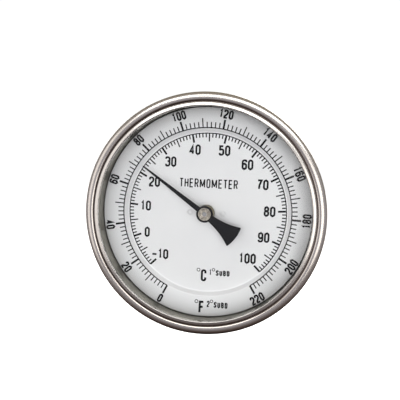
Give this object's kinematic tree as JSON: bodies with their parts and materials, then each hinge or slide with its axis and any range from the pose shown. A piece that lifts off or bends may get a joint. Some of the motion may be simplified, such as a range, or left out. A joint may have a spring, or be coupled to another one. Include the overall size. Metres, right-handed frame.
{
  "type": "dial thermometer",
  "caption": "Back-connected bimetal dial thermometer with two temperature scales, a threaded connection and a probe stem, for a kettle or fermenter.",
  "frame": {"origin": "on the stem's axis, in the plane of the hexagon's rear face, where the tapered thread starts", "axes": "+Y along the stem from the dial to the tip, so the dial faces -Y; +Z towards 12 o'clock; +X towards 3 o'clock"},
  "size_m": [0.0826, 0.0922, 0.0826],
  "materials": {
    "case_steel": "drawn stainless steel, fine circumferential brushing",
    "bezel_steel": "satin-polished stainless steel",
    "window_glass": "clear flat glass",
    "black_rubber": "matt black rubber",
    "connection_steel": "turned and milled stainless steel",
    "stem_steel": "bright-drawn stainless tube",
    "fibre": "red fibre sheet",
    "dial_white": "silver-white satin dial finish",
    "brass": "turned brass",
    "spring_steel": "blued spring steel",
    "bimetal": "rolled bimetal strip",
    "pointer_black": "satin black paint",
    "hub_metal": "nickel-plated brass, matt end face",
    "white_plastic": "turned white bearing plastic"
  },
  "bodies": {
    "case": {"rear_case": "case_steel", "bezel_ring": "bezel_steel", "window_glass": "window_glass", "window_gasket": "black_rubber", "threaded_connection": "connection_steel", "case_gasket": "fibre", "case_nut": "connection_steel", "stem_tube": "stem_steel", "stem_tip": "stem_steel", "front_bush": "brass", "rear_bush": "white_plastic", "helix_anchor": "connection_steel", "bimetal_helix": "bimetal", "dial_retaining_ring": "spring_steel", "disc_spring": "spring_steel", "screw_bush": "brass", "screw_seal": "black_rubber"},
    "dial": {"dial_plate": "dial_white", "dial_gear": "brass", "dial_rivets": "hub_metal"},
    "calibration_screw": {"calibration_screw": "stem_steel", "calibration_pinion": "brass", "screw_clip": "spring_steel"},
    "pointer": {"pointer": "pointer_black", "pointer_ring": "pointer_black", "pointer_hub": "hub_metal", "spindle": "stem_steel", "helix_collar": "brass"}
  },
  "joints": [
    {"name": "pointer_turn", "type": "hinge", "parent": "case", "child": "pointer", "pos_m": [0, 0, 0], "axis": [0, 1, 0], "range_deg": [-99, 201], "stiffness_Nm_per_rad": 0.002, "deforming": ["bimetal_helix"]},
    {"name": "dial_turn", "type": "hinge", "parent": "case", "child": "dial", "pos_m": [0, 0, 0], "axis": [0, 1, 0], "range_deg": [-12, 12]},
    {"name": "screw_turn", "type": "hinge", "parent": "case", "child": "calibration_screw", "pos_m": [0, 0, -0.018], "axis": [0, 1, 0], "range_deg": [-60, 60]}
  ],
  "couplings": [
    {"joint": "screw_turn", "follows": "dial_turn", "ratio": -5}
  ]
}
